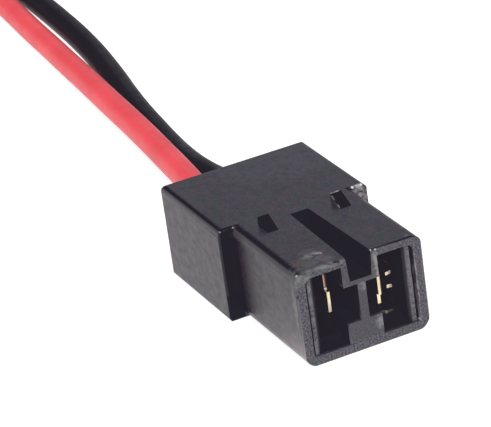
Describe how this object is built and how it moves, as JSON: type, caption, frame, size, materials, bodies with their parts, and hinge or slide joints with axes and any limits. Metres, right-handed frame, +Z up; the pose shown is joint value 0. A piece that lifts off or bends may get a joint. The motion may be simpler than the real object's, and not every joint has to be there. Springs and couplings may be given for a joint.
{
  "type": "two-way connector plug",
  "caption": "Stepped black plug housing with a keyway, wedge catches and rolled brass receptacle terminals, on a short red and black wire lead for push-on tabs.",
  "frame": {"origin": "centre of the housing's underside", "axes": "+X to the black wire's side, +Y out of the rear along the wires, +Z up; the mating face looks along -Y"},
  "size_m": [0.0173, 0.1195, 0.0098],
  "materials": {
    "black_plastic": "fine satin moulding",
    "brass_sheet": "bare stamped sheet",
    "red_insulation": "smooth insulation",
    "black_insulation": "smooth insulation",
    "strands": "tinned strands"
  },
  "bodies": {
    "root": {"housing": "black_plastic", "left_terminal": "brass_sheet", "right_terminal": "brass_sheet", "red_core": "strands", "black_core": "strands", "red_wire": "red_insulation", "black_wire": "black_insulation", "red_wire_tip": "strands", "black_wire_tip": "strands"}
  },
  "joints": []
}
